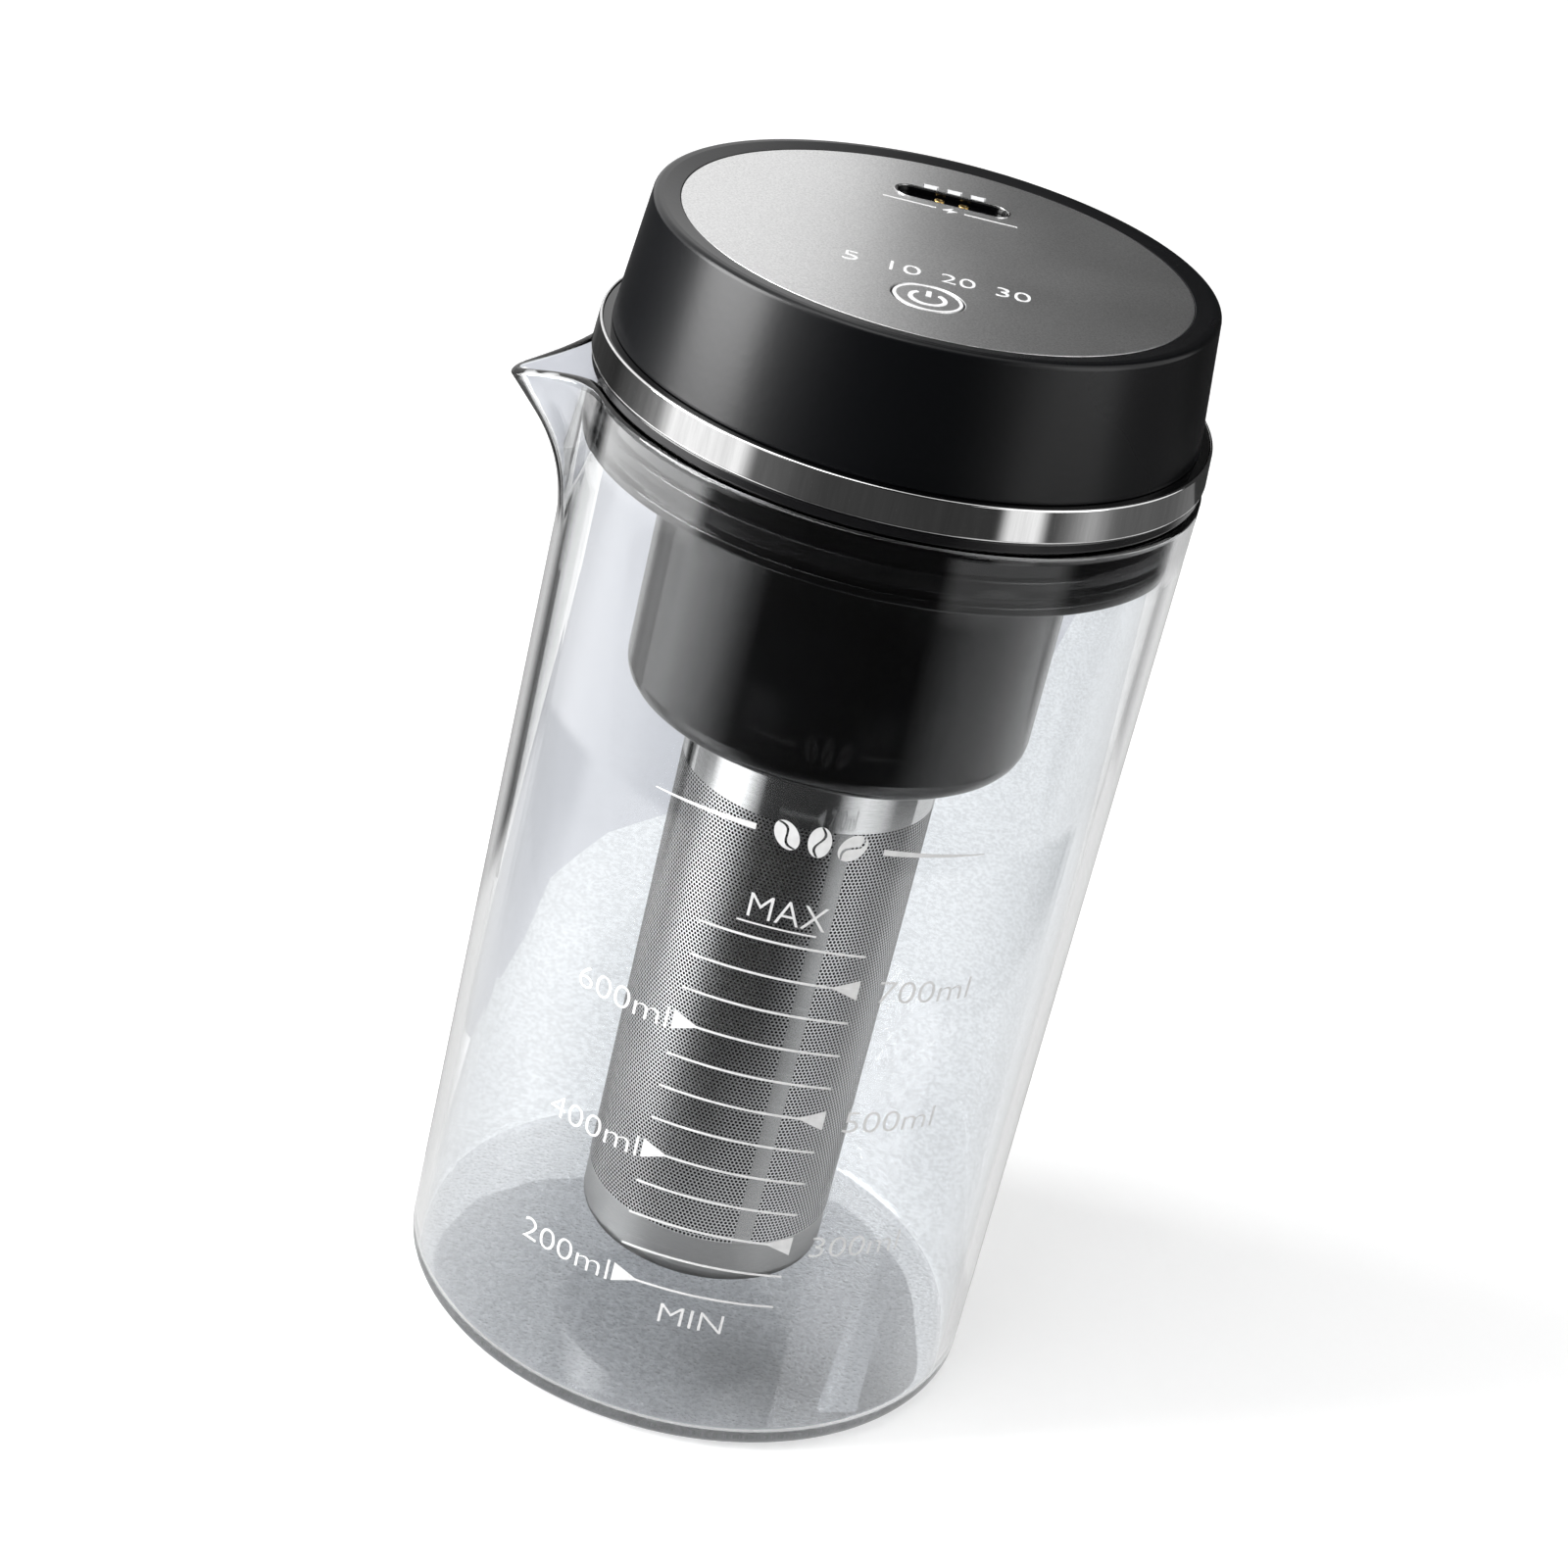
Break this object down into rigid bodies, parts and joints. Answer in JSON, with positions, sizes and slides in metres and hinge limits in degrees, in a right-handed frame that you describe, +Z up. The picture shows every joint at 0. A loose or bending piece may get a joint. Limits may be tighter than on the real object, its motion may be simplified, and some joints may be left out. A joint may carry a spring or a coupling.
{
  "type": "cold brew coffee maker",
  "caption": "Glass carafe with a pulled pouring lip, a motorised rechargeable lid and a hanging mesh filter that spins in the brew.",
  "frame": {"origin": "centre of the glass foot, on the table", "axes": "+Z up along the carafe, -Y the front with the power button, +X right; the lip points left and a little forward"},
  "size_m": [0.1159, 0.104, 0.2057],
  "materials": {
    "clear_glass": "clear, polished",
    "charcoal_shell": "fine matte",
    "black_moulding": "glossy",
    "panel_grey": "fine-grained metallic",
    "polished_steel": "mirror polished",
    "filter_steel": "brushed",
    "silicone": "matte",
    "board_green": "satin",
    "gold_contact": "polished",
    "light_white": "frosted",
    "nylon": "satin",
    "plain_steel": "machined",
    "cell_wrap": "shrink wrap",
    "magnet": "nickel plated",
    "copper": "enamelled wire",
    "bronze": "sintered",
    "motor_steel": "drawn"
  },
  "bodies": {
    "carafe": {"glass_carafe": "clear_glass"},
    "lid": {"rim_gasket": "silicone", "steel_band": "polished_steel", "lid_base": "black_moulding", "plug_seal": "silicone", "lid_shell": "charcoal_shell", "control_panel": "panel_grey", "tact_switch": "black_moulding", "charging_socket": "black_moulding", "charging_contacts": "gold_contact", "charging_magnets": "magnet", "charge_lights": "light_white", "timer_lights": "light_white", "circuit_board": "board_green", "board_screws": "plain_steel", "board_chips": "black_moulding", "chassis": "black_moulding", "chassis_screws": "plain_steel", "battery_cell": "cell_wrap", "cell_tabs": "plain_steel", "motor_cup": "black_moulding", "cup_gasket": "silicone", "shaft_seal": "silicone", "lower_bush": "bronze", "upper_bush": "bronze", "gear_plate": "plain_steel", "plate_screws": "plain_steel", "motor_can": "motor_steel", "motor_end_cap": "nylon", "motor_magnets": "magnet", "motor_screws": "plain_steel"},
    "drive": {"driven_gear": "nylon", "drive_shaft": "plain_steel", "retaining_clip": "plain_steel", "drive_hub": "black_moulding", "hub_screw": "plain_steel", "grip_ring": "silicone"},
    "rotor": {"motor_shaft": "plain_steel", "motor_armature": "copper", "motor_pinion": "bronze"},
    "filter": {"filter_collar": "filter_steel", "filter_sleeve": "filter_steel", "filter_bottom": "filter_steel"},
    "button": {"power_button": "panel_grey", "switch_plunger": "black_moulding"}
  },
  "joints": [
    {"name": "lid_lift", "type": "slide", "parent": "carafe", "child": "lid", "axis": [0, 0, 1], "range_m": [0, 0.175]},
    {"name": "drive_spin", "type": "hinge", "parent": "lid", "child": "drive", "pos_m": [0, 0, 0.14], "axis": [0, 0, 1], "continuous": true},
    {"name": "rotor_spin", "type": "hinge", "parent": "lid", "child": "rotor", "pos_m": [0, -0.018, 0.16], "axis": [0, 0, 1], "continuous": true},
    {"name": "filter_pull", "type": "slide", "parent": "drive", "child": "filter", "axis": [0, 0, -1], "range_m": [0, 0.0085]},
    {"name": "button_press", "type": "slide", "parent": "lid", "child": "button", "axis": [0, 0, -1], "range_m": [0, 0.0005], "stiffness_N_per_m": 1500, "springref_m": -0.0003}
  ],
  "couplings": [
    {"joint": "rotor_spin", "follows": "drive_spin", "ratio": -4}
  ]
}
